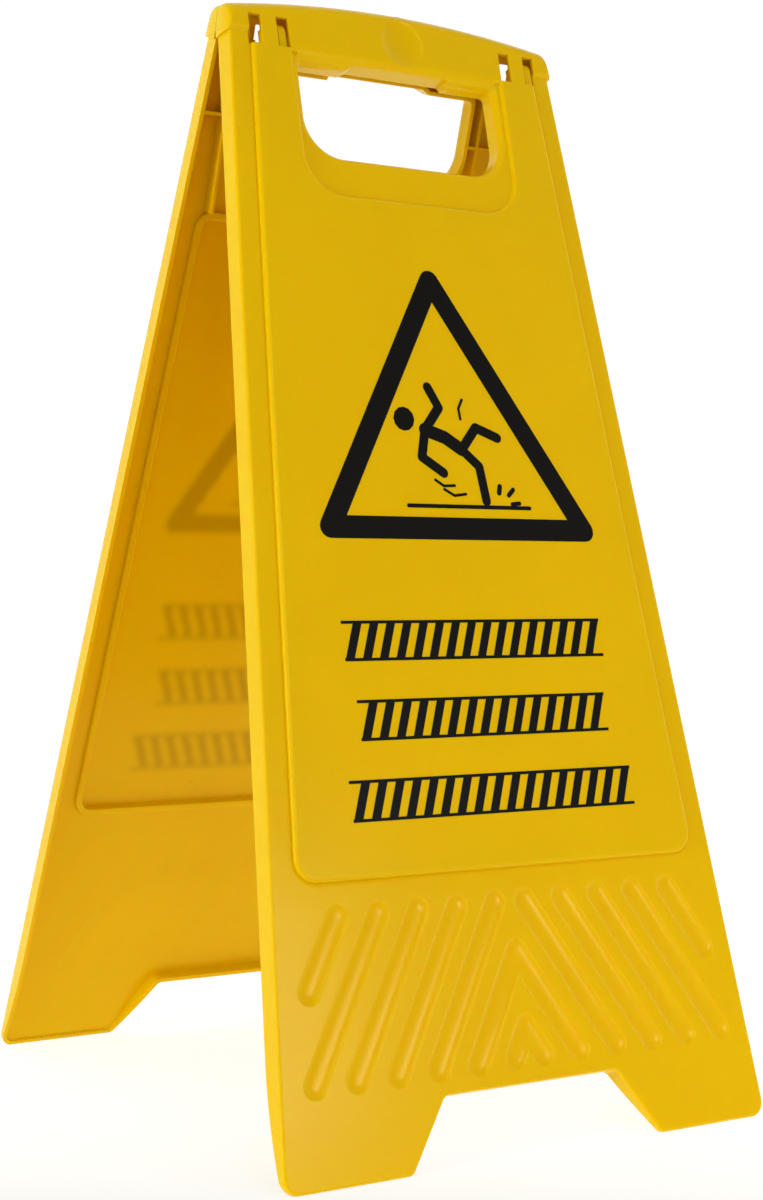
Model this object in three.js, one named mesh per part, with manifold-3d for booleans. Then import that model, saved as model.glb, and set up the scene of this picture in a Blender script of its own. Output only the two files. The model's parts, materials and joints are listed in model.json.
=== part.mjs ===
// Folding A-frame wet floor sign: two identical moulded polypropylene panels that snap together
// at the head on moulded pins and hooks, each carrying a black printed warning on its face.
//
// Everything is in millimetres, +Z up, with the origin on the floor in the middle of the open sign.
// A panel is drawn lying flat in its own frame: X runs across it, Y up it from the feet to the
// crown, Z outwards through it from its open back (Z = 0) to its face. The pair is then stood up.

import * as THREE from 'three';
import { mergeVertices } from 'three/addons/utils/BufferGeometryUtils.js';
import Module from 'manifold-3d';

const wasm = await Module();
wasm.setup();

// ---------------------------------------------------------------- driving dimensions

const PANEL_LENGTH = 623;          // feet to the top of the crown
const LEAN = THREE.MathUtils.degToRad(15.49); // each panel from the vertical, sign open
const FOOT_HALF_WIDTH = 149.6;     // face width at the feet, halved
const SIDE_TAPER = 0.0728;         // how much each side comes in per millimetre of height
const SHELL_DEPTH = 11.6;          // open back to the face of the border
const WALL = 2.4;                  // moulded wall thickness
const DRAFT_FLARE = 0.8;           // the open back is this much larger all round than the face
const RIM_RADIUS = 1.6;            // rounding of the face into the side walls

const CROWN_DROP = 8.8;            // the crown arch is this much lower at the corners
const FOOT_CORNER_RADIUS = 8;
const GAP_FOOT_HALF = 77.3;        // gap between the feet, at the floor
const GAP_TOP_HALF = 53.4;         // the same gap at its top
const GAP_HEIGHT = 35.3;
const GAP_CORNER_RADIUS = 5;
const FOOT_CURVE_HEIGHT = 64;      // the open edge curves forward over the lowest part of a foot
const FOOT_CURVE_DEPTH = 8.8;      // how far forward it has come at the tip
const FOOT_LAND = 1.2;             // width of the flat that each foot stands on

const BORDER = 13.8;               // width of the border beside the raised field
const FIELD_RAISE = 2.4;           // how far the field stands out of the border
const FIELD_BOTTOM = 144.3;
const FIELD_TOP = 603;
const FIELD_CORNER_RADIUS = 12;

const HEAD_BOTTOM = 597;           // lower edge of the head where it steps down to the border
const HEAD_PROUD = 1.1;            // the head is wider than the sides by this much on each side
const HEAD_ROUNDING = [10, 7.5, 2.2]; // its rounding into the crown: depth, drop, and in from the sides
const HEAD_CORNER_RADII = [3, 9];  // corners of the crown, at the back and on the face
const DISH_RADIUS = 17;            // thumb dish in the head
const DISH_DEPTH = 2;
const DISH_CENTRE_Y = 604;

const OPENING_HALF_WIDTH = 64;     // handle opening
const OPENING_TOP = 584.2;         // underside of the grip
const OPENING_BOTTOM = 531.2;
const OPENING_RADIUS = 22;
const OPENING_TOP_RADIUS = 3;
const OPENING_LIP = 3.6;           // rounding of the face into the opening
const GRIP_ROUNDING = 9;           // larger rounding of the face into the underside of the grip
const RECESS_HALF_WIDTH = 70.4;    // U-shaped recess round the opening
const RECESS_BOTTOM = 506.4;
const RECESS_TOP = 591;
const RECESS_RADIUS = 25;
const FINGER_NOTCH = [-36, 34.5, 2.6]; // left end, right end and height of the notch in the grip

const AXIS_Y = 601.2;              // hinge axis, up the panel
const AXIS_Z = -0.25;              // and a quarter millimetre behind its open back
const HEAD_GAP = 0.15;             // each head stops this far short of the middle plane
const PIN_RADIUS = 2;
const PIN_CLEARANCE = 0.3;
const HOOK_RADIUS = 4.6;
const HOOK_THICKNESS = 4.4;
const CHEEK_THICKNESS = 2.2;
const CHEEK_RADIUS = 3.4;
const STATION_INNER = 73;          // hinge stations, from the middle of the panel
const STATION_OUTER = 90;
const WINDOW_WIDTH = 7.6;
const WINDOW_BOTTOM = 590.5;
const WINDOW_TOP = 607.5;

const RIB = 1.8;                   // stiffening ribs inside
const RIB_BACK = 0.5;              // the ribs stop this far inside the open back
const BEAD = { width: 4.2, back: 6.6, inset: 1.6 }; // the low rib round the pocket
const POCKET_TOP = 506;            // the rib ring round the back of the field
const POCKET_BOTTOM = 144.6;
const CROSS_RIB_Y = 558;

const GROOVE_WIDTH = 13.4;         // chevron grooves in the foot of the panel
const GROOVE_DEPTH = 1.1;
const GROOVE_TOP = 133.5;
const GROOVE_BOTTOM = 42;
const GROOVE_LEAN = 0.593;         // sideways run per millimetre of drop
const GROOVE_PITCH = 23.6;
const GROOVE_FIRST = 9.3;          // from the middle to the top end of the first groove
const GROOVE_SHORT = 34;           // drop of the outermost, short groove
const PEAKS = [101.6, 63.2];       // apexes of the two nested peaks in the middle

const INK_GAP = 0.25;              // between the ink and the face
const INK_THICKNESS = 0.3;
const BAND = 12.2;                 // width of the black band of the triangle
const TRIANGLE = [330.5, 451.2, 70.9]; // inner triangle: bottom, apex, half of its width
const TRIANGLE_RADIUS = 6;
const LIMB_WIDTH = 5.6;
const TORSO_WIDTH = 7.6;
const FLOOR_LINE_WIDTH = 2.2;
const FIGURE_HEAD = { x: -28, y: 384.2, radius: 6.4 };
const ROW_HEIGHT = 21;
const ROWS = [                     // bottom edge, half of the length, number of stripes
  { name: 'upper', y: 254, half: 82.4, stripes: 16 },
  { name: 'middle', y: 213, half: 78.6, stripes: 15 },
  { name: 'lower', y: 172.4, half: 89, stripes: 17 },
];
const STRIPE_FILL = 0.52;          // part of the pitch that is black
const STRIPE_LEAN = 0.36;
const ROW_RULE = 1.6;              // thin rule along the top and the bottom of a row

const FACE = SHELL_DEPTH + FIELD_RAISE;
const FOOT_FLOOR = FOOT_CURVE_DEPTH + FOOT_LAND;
const CORNER_STEPS = 5;
const SIDE = (y) => FOOT_HALF_WIDTH - SIDE_TAPER * y;

// ---------------------------------------------------------------- outlines and solids

// Moves every edge of a closed outline of corners [x, y, radius] inwards.
function inset(corners, amount) {
  const count = corners.length;
  const edges = corners.map(([x, y], i) => {
    const [nx, ny] = corners[(i + 1) % count];
    const length = Math.hypot(nx - x, ny - y);
    const dx = (nx - x) / length;
    const dy = (ny - y) / length;
    return { x: x - dy * amount, y: y + dx * amount, dx, dy };
  });
  return corners.map(([, , radius], i) => {
    const a = edges[(i + count - 1) % count];
    const b = edges[i];
    const cross = a.dx * b.dy - a.dy * b.dx;
    const along = ((b.x - a.x) * b.dy - (b.y - a.y) * b.dx) / cross;
    const grown = cross > 0 ? radius - amount : radius + amount;
    return [a.x + a.dx * along, a.y + a.dy * along, radius > 0 ? Math.max(grown, 0.4) : 0];
  });
}

// Rounds the corners of an outline that have a radius, and returns its points.
function rounded(corners) {
  const count = corners.length;
  const points = [];
  corners.forEach(([x, y, radius], i) => {
    if (!radius) {
      points.push(new THREE.Vector2(x, y));
      return;
    }
    const corner = new THREE.Vector2(x, y);
    const before = new THREE.Vector2(...corners[(i + count - 1) % count]).sub(corner).normalize();
    const after = new THREE.Vector2(...corners[(i + 1) % count]).sub(corner).normalize();
    const half = Math.acos(THREE.MathUtils.clamp(before.dot(after), -1, 1)) / 2;
    const centre = before.clone().add(after).normalize().multiplyScalar(radius / Math.sin(half)).add(corner);
    const first = corner.clone().addScaledVector(before, radius / Math.tan(half)).sub(centre);
    const turn = Math.PI - 2 * half;
    const way = Math.sign(before.cross(after)) * -1;
    for (let step = 0; step <= CORNER_STEPS; step += 1) {
      const arm = first.clone().rotateAround(new THREE.Vector2(), (way * turn * step) / CORNER_STEPS);
      points.push(arm.add(centre));
    }
  });
  return points;
}

// A closed solid through loops of equally many points, each at its own height z.
function lofted(loops) {
  const size = loops[0].points.length;
  const positions = loops.flatMap(({ points, z }) => points.flatMap((p) => [p.x, p.y, z]));
  const index = [];
  for (let level = 0; level < loops.length - 1; level += 1) {
    for (let i = 0; i < size; i += 1) {
      const a = level * size + i;
      const b = level * size + ((i + 1) % size);
      index.push(a, b, b + size, a, b + size, a + size);
    }
  }
  const top = (loops.length - 1) * size;
  THREE.ShapeUtils.triangulateShape(loops[0].points, []).forEach(([a, b, c]) => index.push(c, b, a));
  THREE.ShapeUtils.triangulateShape(loops.at(-1).points, []).forEach(([a, b, c]) => {
    index.push(top + a, top + b, top + c);
  });
  const geometry = new THREE.BufferGeometry();
  geometry.setAttribute('position', new THREE.Float32BufferAttribute(positions, 3));
  geometry.setIndex(index);
  return solid(geometry);
}

function solid(geometry) {
  const bare = geometry.clone();
  bare.deleteAttribute('normal');
  bare.deleteAttribute('uv');
  const merged = mergeVertices(bare, 1e-4);
  return new wasm.Manifold(new wasm.Mesh({
    numProp: 3,
    vertProperties: new Float32Array(merged.attributes.position.array),
    triVerts: new Uint32Array(merged.index.array),
  }));
}

// A solid whose outline is moved inwards level by level: steps are [inset, z].
const stacked = (corners, steps) => lofted(
  steps.map(([amount, z]) => ({ points: rounded(inset(corners, amount)), z })),
);

const slab = (corners, from, to) => stacked(corners, [[0, from], [0, to]]);

const box = (x0, x1, y0, y1, z0, z1) => {
  const geometry = new THREE.BoxGeometry(x1 - x0, y1 - y0, z1 - z0);
  return solid(geometry.translate((x0 + x1) / 2, (y0 + y1) / 2, (z0 + z1) / 2));
};

// Steps of a quarter round of the given radius that ends at height z.
const roundedEdge = (radius, z, steps = 3) => Array.from({ length: steps + 1 }, (_, i) => {
  const angle = (i / steps) * (Math.PI / 2);
  return [radius * (1 - Math.cos(angle)), z - radius + radius * Math.sin(angle)];
});

// A plate across X, from an outline drawn as [z, y] points.
function plate(profile, x0, x1) {
  const shape = new THREE.Shape(profile.map(([z, y]) => new THREE.Vector2(z, y)));
  const geometry = new THREE.ExtrudeGeometry(shape, { depth: x1 - x0, bevelEnabled: false });
  // the drawing's z axis becomes the panel's Z, and the extrusion runs along the panel's X
  geometry.applyMatrix4(new THREE.Matrix4().makeBasis(
    new THREE.Vector3(0, 0, 1), new THREE.Vector3(0, 1, 0), new THREE.Vector3(-1, 0, 0),
  ));
  return solid(geometry.translate(x1, 0, 0));
}

const rod = (radius, x0, x1, sides = 20) => {
  const geometry = new THREE.CylinderGeometry(radius, radius, x1 - x0, sides);
  geometry.rotateZ(Math.PI / 2);
  return solid(geometry.translate((x0 + x1) / 2, AXIS_Y, AXIS_Z));
};

// ---------------------------------------------------------------- outlines of the panel

// The crown: points on a shallow arc from the right corner to the left one.
function crown(halfWidth, top, cornerRadius) {
  const arcRadius = halfWidth ** 2 / (2 * CROWN_DROP) + CROWN_DROP / 2;
  const points = [[halfWidth, top - CROWN_DROP, cornerRadius]];
  for (let part = 1; part < 8; part += 1) {
    const x = halfWidth * (1 - part / 4);
    points.push([x, top - arcRadius + Math.sqrt(arcRadius ** 2 - x ** 2), 0]);
  }
  points.push([-halfWidth, top - CROWN_DROP, cornerRadius]);
  return points;
}

// The tray ends inside the head, a little below the crown.
const trayOutline = [
  [-FOOT_HALF_WIDTH, 0, FOOT_CORNER_RADIUS],
  [-GAP_FOOT_HALF, 0, GAP_CORNER_RADIUS],
  [-GAP_TOP_HALF, GAP_HEIGHT, GAP_CORNER_RADIUS],
  [GAP_TOP_HALF, GAP_HEIGHT, GAP_CORNER_RADIUS],
  [GAP_FOOT_HALF, 0, GAP_CORNER_RADIUS],
  [FOOT_HALF_WIDTH, 0, FOOT_CORNER_RADIUS],
  ...crown(SIDE(PANEL_LENGTH), PANEL_LENGTH - 10, 6),
];

// The finger notch in the underside of the grip, long and slanting at one end.
function notchOutline(larger) {
  const [left, right, height] = FINGER_NOTCH;
  const top = OPENING_TOP + height + larger;
  return [
    [left - larger, OPENING_TOP - 1, 0],
    [right + larger, OPENING_TOP - 1, 0],
    [right - 1.5 + larger, top, 1],
    [left + 7 - larger, top, 2],
  ];
}

// The head: its outline shrinks into the face along a quarter ellipse, and it is drawn down to
// the grip, to be cut off at its lower edge afterwards.
function headForm(inside, face, lowest) {
  const [depth, drop, narrowing] = HEAD_ROUNDING;
  const [sharp, round] = HEAD_CORNER_RADII;
  const outline = (amount) => {
    const narrow = inside + narrowing * amount;
    const radius = sharp + (round - sharp) * amount;
    const foot = SIDE(OPENING_TOP) + HEAD_PROUD - narrow;
    return rounded([
      [-foot, OPENING_TOP, 0],
      [foot, OPENING_TOP, 0],
      ...crown(SIDE(PANEL_LENGTH) + HEAD_PROUD - narrow, PANEL_LENGTH - inside - drop * amount, radius),
    ]);
  };
  const levels = Array.from({ length: 6 }, (_, i) => {
    const angle = (i / 5) * (Math.PI / 2);
    return { points: outline(1 - Math.cos(angle)), z: face - depth * (1 - Math.sin(angle)) };
  });
  return lofted([{ points: outline(0), z: lowest }, ...levels]);
}

function fieldOutline(bottom, top, radius) {
  const halfAt = (y) => SIDE(y) - BORDER;
  return [
    [-halfAt(bottom), bottom, radius],
    [halfAt(bottom), bottom, radius],
    [halfAt(top), top, radius],
    [-halfAt(top), top, radius],
  ];
}

// The handle opening, made larger by one amount at its sides and foot and another at the grip.
function openingOutline(larger, higher) {
  const half = OPENING_HALF_WIDTH + larger;
  const top = OPENING_TOP + higher;
  return [
    [-half, OPENING_BOTTOM - larger, OPENING_RADIUS + larger],
    [half, OPENING_BOTTOM - larger, OPENING_RADIUS + larger],
    [half, top, OPENING_TOP_RADIUS],
    [-half, top, OPENING_TOP_RADIUS],
  ];
}

const recessOutline = [
  [-RECESS_HALF_WIDTH, RECESS_BOTTOM, RECESS_RADIUS],
  [RECESS_HALF_WIDTH, RECESS_BOTTOM, RECESS_RADIUS],
  [RECESS_HALF_WIDTH, RECESS_TOP, 2],
  [OPENING_HALF_WIDTH, RECESS_TOP, 2],
  [OPENING_HALF_WIDTH - 2, OPENING_TOP - 1, 0],
  [2 - OPENING_HALF_WIDTH, OPENING_TOP - 1, 0],
  [-OPENING_HALF_WIDTH, RECESS_TOP, 2],
  [-RECESS_HALF_WIDTH, RECESS_TOP, 2],
];

// ---------------------------------------------------------------- the moulded panel

// Outer form: the tapered tray, the raised field and the rounded head.
function outerForm() {
  const tray = stacked(trayOutline, [[-DRAFT_FLARE, 0], ...roundedEdge(RIM_RADIUS, SHELL_DEPTH)]);
  const field = stacked(fieldOutline(FIELD_BOTTOM, FIELD_TOP, FIELD_CORNER_RADIUS), [
    [0, SHELL_DEPTH - 1], [0, SHELL_DEPTH], [1.6, FACE - 0.4], [2.6, FACE],
  ]);
  return tray.add(field).add(headForm(0, FACE, 0).subtract(belowHead(0)));
}

// Everything below the head, up to the ramp at its lower edge.
function belowHead(lift) {
  const edge = HEAD_BOTTOM + lift;
  return plate([
    [-1, edge - 60],
    [FACE + 1, edge - 60],
    [FACE + 1, edge + 2.5],
    [SHELL_DEPTH, edge],
    [-1, edge],
  ], -FOOT_HALF_WIDTH, FOOT_HALF_WIDTH);
}

// What the shell is hollowed out by: the tray, the pocket behind the field, and the head.
function hollow() {
  const inside = SHELL_DEPTH - WALL;
  const tray = stacked(trayOutline, [[WALL - DRAFT_FLARE, -1], [WALL + 0.3, inside]]);
  const pocket = stacked(fieldOutline(POCKET_BOTTOM, POCKET_TOP, FIELD_CORNER_RADIUS), [
    [BEAD.inset + BEAD.width, inside - 3], [BEAD.inset + BEAD.width, inside],
    [BEAD.inset + BEAD.width + 1, FACE - WALL],
  ]);
  const head = headForm(WALL, FACE - WALL, -1);
  return tray.add(pocket).add(head.subtract(belowHead(WALL)));
}

// Ring of rib round the pocket, flange round the opening, and the straight ribs beside it.
function ribs() {
  const root = SHELL_DEPTH - 1;
  const ring = fieldOutline(POCKET_BOTTOM, POCKET_TOP, FIELD_CORNER_RADIUS);
  const outer = BEAD.inset;
  const inner = BEAD.inset + BEAD.width;
  const pocketRing = stacked(ring, [[outer, BEAD.back], [outer, root]])
    .subtract(stacked(ring, [[inner, BEAD.back - 1], [inner, root + 1]]));
  const flange = slab(openingOutline(WALL, WALL), 0, root).add(slab(notchOutline(WALL), 0, root));
  const half = RIB / 2;
  const upright = (x) => box(x - half, x + half, POCKET_TOP - RIB, WINDOW_BOTTOM, RIB_BACK, root);
  const cross = (from, to) => box(from, to, CROSS_RIB_Y - half, CROSS_RIB_Y + half, RIB_BACK, root);
  const near = OPENING_HALF_WIDTH + 1;
  const far = SIDE(CROSS_RIB_Y) - 1;
  return pocketRing.add(flange).add(cross(-far, -near)).add(cross(near, far))
    .add(upright(-STATION_INNER)).add(upright(STATION_OUTER + 2.5));
}

// A hook: a plate that reaches back round the other panel's pin, open towards it.
function hook(x) {
  const arc = (cz, cy, radius, from, to, steps) => Array.from({ length: steps + 1 }, (_, i) => {
    const angle = THREE.MathUtils.degToRad(from + ((to - from) * i) / steps);
    return [cz + radius * Math.cos(angle), cy + radius * Math.sin(angle)];
  });
  const nose = 7;
  const front = SHELL_DEPTH + 0.8;
  const profile = [
    [3, OPENING_TOP + WALL],
    [front, OPENING_TOP + WALL],
    ...arc(front - nose, AXIS_Y - 2, nose, 0, 90, 6),
    ...arc(AXIS_Z, AXIS_Y, HOOK_RADIUS, 90, 290, 12),
    [3, AXIS_Y - 8],
  ];
  const x0 = x - HOOK_THICKNESS / 2;
  const x1 = x + HOOK_THICKNESS / 2;
  const mouth = PIN_RADIUS * 0.85;
  return plate(profile, x0, x1)
    .subtract(rod(PIN_RADIUS + PIN_CLEARANCE, x0 - 1, x1 + 1, 24))
    .subtract(box(x0 - 1, x1 + 1, AXIS_Y - mouth, AXIS_Y + mouth, AXIS_Z - HOOK_RADIUS - 2, AXIS_Z));
}

// A pin that stands sideways on a cheek; the cheek is on the far side from the free end.
function pin(x, cheekSide) {
  const reach = WINDOW_WIDTH / 2;
  const near = x + cheekSide * (reach + 1);
  const far = near + cheekSide * CHEEK_THICKNESS;
  const free = x - cheekSide * reach;
  const cheek = [];
  for (let i = 0; i <= 10; i += 1) {
    const angle = THREE.MathUtils.degToRad(100 + 16 * i);
    cheek.push([AXIS_Z + CHEEK_RADIUS * Math.cos(angle), AXIS_Y + CHEEK_RADIUS * Math.sin(angle)]);
  }
  const root = SHELL_DEPTH - 1;
  const profile = [...cheek, [root, AXIS_Y - 12], [root, AXIS_Y + 9]];
  return plate(profile, Math.min(near, far), Math.max(near, far))
    .add(rod(PIN_RADIUS, Math.min(far, free), Math.max(far, free)));
}

// The outline of a bar with round ends, from a to b.
function capsule(a, b, radius) {
  const turn = new THREE.Vector2().subVectors(b, a).angle();
  const points = [];
  [[b, -1], [a, 1]].forEach(([centre, way]) => {
    for (let i = 0; i <= 6; i += 1) {
      const angle = turn + (way * Math.PI) / 2 + (Math.PI * i) / 6;
      points.push(new THREE.Vector2(Math.cos(angle), Math.sin(angle)).multiplyScalar(radius).add(centre));
    }
  });
  return points;
}

// One groove: a shallow round-bottomed channel with round ends, from a to b.
function groove(a, b) {
  const radius = GROOVE_WIDTH / 2;
  const floor = SHELL_DEPTH - GROOVE_DEPTH;
  return lofted([
    { points: capsule(a, b, radius * 0.38), z: floor },
    { points: capsule(a, b, radius * 0.7), z: floor + GROOVE_DEPTH * 0.38 },
    { points: capsule(a, b, radius), z: SHELL_DEPTH },
    { points: capsule(a, b, radius), z: SHELL_DEPTH + 1 },
  ]);
}

// The chevron of grooves: slanting pairs, a short pair outside, and two nested peaks inside.
function grooves() {
  const start = GROOVE_TOP - GROOVE_WIDTH / 2;
  const end = GROOVE_BOTTOM + GROOVE_WIDTH / 2;
  const lines = [0, 1, 2, 3].map((i) => [GROOVE_FIRST + GROOVE_PITCH * i, start, end]);
  lines.push([GROOVE_FIRST + GROOVE_PITCH * 4, start, start - GROOVE_SHORT]);
  PEAKS.forEach((apex) => lines.push([0, apex, end]));
  return lines.flatMap(([x, from, to]) => {
    const low = x + GROOVE_LEAN * (from - to);
    const at = (side) => [new THREE.Vector2(side * x, from), new THREE.Vector2(side * low, to)];
    return [groove(...at(-1)), groove(...at(1))];
  }).reduce((all, next) => all.add(next));
}

// Everything cut out of the face: opening, recess, finger notch, windows, dish and grooves.
function cuts() {
  const rounding = (radius, z, end) => {
    const rise = THREE.MathUtils.clamp(z - end + radius, 0, radius);
    return radius - Math.sqrt(radius ** 2 - rise ** 2);
  };
  const opening = lofted([-1, 5, 8, 9.8, 11, SHELL_DEPTH, 13, FACE, FACE + 1].map((z) => {
    const outline = openingOutline(rounding(OPENING_LIP, z, SHELL_DEPTH), rounding(GRIP_ROUNDING, z, FACE));
    return { points: rounded(outline), z };
  }));
  const recess = stacked(recessOutline, [[2.2, SHELL_DEPTH], [0.6, FACE - 0.4], [0, FACE + 1]]);
  const notch = slab(notchOutline(0), -1, FACE + 1);
  const windows = [-STATION_OUTER, -STATION_INNER, STATION_INNER, STATION_OUTER].map((x) => box(
    x - WINDOW_WIDTH / 2, x + WINDOW_WIDTH / 2, WINDOW_BOTTOM, WINDOW_TOP, SHELL_DEPTH - WALL - 2, FACE + 1,
  ));
  const ball = (DISH_RADIUS ** 2 + DISH_DEPTH ** 2) / (2 * DISH_DEPTH);
  const bowl = [new THREE.Vector2(0, 0)];
  for (let i = 0; i <= 4; i += 1) {
    const r = (DISH_RADIUS * i) / 4;
    bowl.push(new THREE.Vector2(r, ball - Math.sqrt(ball ** 2 - r ** 2)));
  }
  bowl.shift();
  bowl.push(new THREE.Vector2(DISH_RADIUS, DISH_DEPTH + 3), new THREE.Vector2(0, DISH_DEPTH + 3));
  const dish = solid(new THREE.LatheGeometry(bowl, 28).rotateX(Math.PI / 2)
    .translate(0, DISH_CENTRE_Y, FACE - DISH_DEPTH));
  return [opening, recess, notch, dish, grooves(), ...windows].reduce((all, next) => all.add(next));
}

// The heads meet back to back on the middle plane when the sign is open, the open edge curves
// forward at the feet, and the tip of each foot is flat on the floor.
function trims() {
  const slope = Math.tan(LEAN);
  const wide = FOOT_HALF_WIDTH + 10;
  const above = 30;
  const stop = plate([
    [-20, AXIS_Y],
    [AXIS_Z + HEAD_GAP, AXIS_Y],
    [AXIS_Z + HEAD_GAP + above * slope, AXIS_Y + above],
    [-20, AXIS_Y + above],
  ], -wide, wide);
  const radius = (FOOT_CURVE_HEIGHT ** 2 + FOOT_CURVE_DEPTH ** 2) / (2 * FOOT_CURVE_DEPTH);
  const curve = Array.from({ length: 7 }, (_, i) => {
    const drop = (FOOT_CURVE_HEIGHT * (6 - i)) / 6;
    return [radius - Math.sqrt(radius ** 2 - drop ** 2), FOOT_CURVE_HEIGHT - drop];
  });
  const toe = plate([[-3, -5], [FOOT_CURVE_DEPTH, -5], ...curve, [-3, FOOT_CURVE_HEIGHT]], -wide, wide);
  const floorLine = [[FOOT_FLOOR, -5], [FOOT_FLOOR, 0], [-3, (FOOT_FLOOR + 3) * slope]];
  const land = plate([[-3, -5], ...floorLine], -wide, wide);
  return stop.add(toe).add(land);
}

function panelSolid() {
  return outerForm().subtract(hollow()).add(ribs()).subtract(cuts()).subtract(trims())
    .add(hook(-STATION_INNER)).add(hook(STATION_OUTER))
    .add(pin(-STATION_OUTER, -1)).add(pin(STATION_INNER, -1));
}

// ---------------------------------------------------------------- the printed warning

const ink = (shape) => slab(shape, FACE + INK_GAP, FACE + INK_GAP + INK_THICKNESS);

function trianglePrint() {
  const [bottom, apex, half] = TRIANGLE;
  const inner = [[-half, bottom, 0], [half, bottom, 0], [0, apex, 0]];
  const outer = inset(inner, -BAND).map(([x, y]) => [x, y, TRIANGLE_RADIUS]);
  const low = FACE + INK_GAP;
  return slab(outer, low, low + INK_THICKNESS).subtract(slab(inner, low - 1, low + 1));
}

// A limb of the figure: a bar with round ends.
function limb(from, to, width) {
  const points = capsule(new THREE.Vector2(...from), new THREE.Vector2(...to), width / 2);
  const low = FACE + INK_GAP;
  return lofted([{ points, z: low }, { points, z: low + INK_THICKNESS }]);
}

// A figure pitching forwards off one foot, with the floor line it stands on.
function figurePrint() {
  const shoulder = [-15.5, 378.6];
  const back = [-3.5, 374.8];
  const hip = [6.6, 368.4];
  const chain = (width, ...joints) => joints.slice(1).map((to, i) => limb(joints[i], to, width));
  return [
    ...chain(TORSO_WIDTH, shoulder, back, hip),
    ...chain(LIMB_WIDTH, shoulder, [-4.8, 391.4], [-10.4, 402.6]),
    ...chain(LIMB_WIDTH, shoulder, [-19.6, 363.4], [-7, 355]),
    ...chain(LIMB_WIDTH, hip, [17.6, 381], [31, 375.8]),
    ...chain(LIMB_WIDTH, hip, [16.6, 359.2], [18.4, 340]),
    limb([-32, 336.6], [46.5, 336.6], FLOOR_LINE_WIDTH),
  ].reduce((all, next) => all.add(next));
}

function figureHeadPrint() {
  const { x, y, radius } = FIGURE_HEAD;
  return limb([x - 0.2, y - 0.3], [x + 0.2, y + 0.3], 2 * radius);
}

// One row: slanting hazard stripes between two thin rules.
function rowPrint({ y, half, stripes }) {
  const top = y + ROW_HEIGHT;
  const lean = (STRIPE_LEAN * ROW_HEIGHT) / 2;
  const pitch = (2 * (half - lean)) / (stripes - 1 + STRIPE_FILL);
  const width = pitch * STRIPE_FILL;
  const rule = (low) => {
    const high = low + ROW_RULE;
    return ink([[-half, low, 0], [half, low, 0], [half, high, 0], [-half, high, 0]]);
  };
  const bars = Array.from({ length: stripes }, (_, i) => {
    const x = -half + lean + i * pitch;
    return ink([[x - lean, y, 0], [x - lean + width, y, 0], [x + lean + width, top, 0], [x + lean, top, 0]]);
  });
  return bars.reduce((all, next) => all.add(next), rule(y).add(rule(top - ROW_RULE)));
}

// ---------------------------------------------------------------- the assembly

const yellow = new THREE.MeshStandardMaterial({ color: 0xe0b000, roughness: 0.32, metalness: 0 });
const black = new THREE.MeshStandardMaterial({ color: 0x1c1814, roughness: 0.45, metalness: 0 });

function meshOf(name, body, material) {
  const { vertProperties, triVerts, numProp } = body.getMesh();
  const geometry = new THREE.BufferGeometry();
  geometry.setAttribute('position', new THREE.Float32BufferAttribute(vertProperties, numProp));
  geometry.setIndex(Array.from(triVerts));
  geometry.computeVertexNormals();
  const mesh = new THREE.Mesh(geometry, material.clone());
  mesh.name = name;
  return mesh;
}

// One side of the sign, hung on the hinge axis; turned half round it is the other side.
function side(name, halfTurn) {
  const panel = new THREE.Group();
  panel.add(meshOf(`${name}_panel`, panelSolid(), yellow));
  panel.add(meshOf(`${name}_triangle_print`, trianglePrint(), black));
  panel.add(meshOf(`${name}_figure_print`, figurePrint(), black));
  panel.add(meshOf(`${name}_figure_head_print`, figureHeadPrint(), black));
  ROWS.forEach((row) => panel.add(meshOf(`${name}_${row.name}_stripes_print`, rowPrint(row), black)));
  panel.children.forEach((mesh) => mesh.position.set(0, -AXIS_Y, -AXIS_Z));
  panel.rotation.x = Math.PI / 2 - LEAN;
  const turned = new THREE.Group();
  turned.add(panel);
  turned.rotation.z = halfTurn ? Math.PI : 0;
  return turned;
}

const sign = new THREE.Group();
sign.name = 'wet_floor_sign';
sign.add(side('front', false), side('rear', true));
// the foot lands are on the floor
sign.position.z = AXIS_Y * Math.cos(LEAN) + (AXIS_Z - FOOT_FLOOR) * Math.sin(LEAN);

export default sign;
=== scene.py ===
"""Looks of the folding wet floor sign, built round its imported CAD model.

Both sides of the sign are one moulding. It is drawn here once more, with fine roundings, as a
panel that lies flat in its own frame, in millimetres: X across it, Y up it from the feet, Z out
through it from the open back (Z = 0) to the face. Then it is stood up twice on the hinge axis.
"""

import json
import math

import bpy
import numpy as np
from mathutils import Matrix, Vector
from mathutils.bvhtree import BVHTree


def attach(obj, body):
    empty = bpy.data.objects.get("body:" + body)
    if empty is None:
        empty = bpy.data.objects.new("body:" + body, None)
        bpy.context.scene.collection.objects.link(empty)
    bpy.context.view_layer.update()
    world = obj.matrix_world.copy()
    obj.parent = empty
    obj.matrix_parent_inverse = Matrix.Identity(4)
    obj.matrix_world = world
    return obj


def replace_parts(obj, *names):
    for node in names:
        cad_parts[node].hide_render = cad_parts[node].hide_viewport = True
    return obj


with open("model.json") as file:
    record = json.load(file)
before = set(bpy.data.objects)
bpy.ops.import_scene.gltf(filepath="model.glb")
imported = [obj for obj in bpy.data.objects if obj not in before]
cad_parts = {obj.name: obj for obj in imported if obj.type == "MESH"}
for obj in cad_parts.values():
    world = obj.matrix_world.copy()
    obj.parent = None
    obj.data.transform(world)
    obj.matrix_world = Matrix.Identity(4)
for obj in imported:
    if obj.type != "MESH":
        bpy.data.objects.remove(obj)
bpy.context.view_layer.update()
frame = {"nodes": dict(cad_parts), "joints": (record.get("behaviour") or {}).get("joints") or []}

# ---------------------------------------------------------------- driving dimensions, in mm

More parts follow.
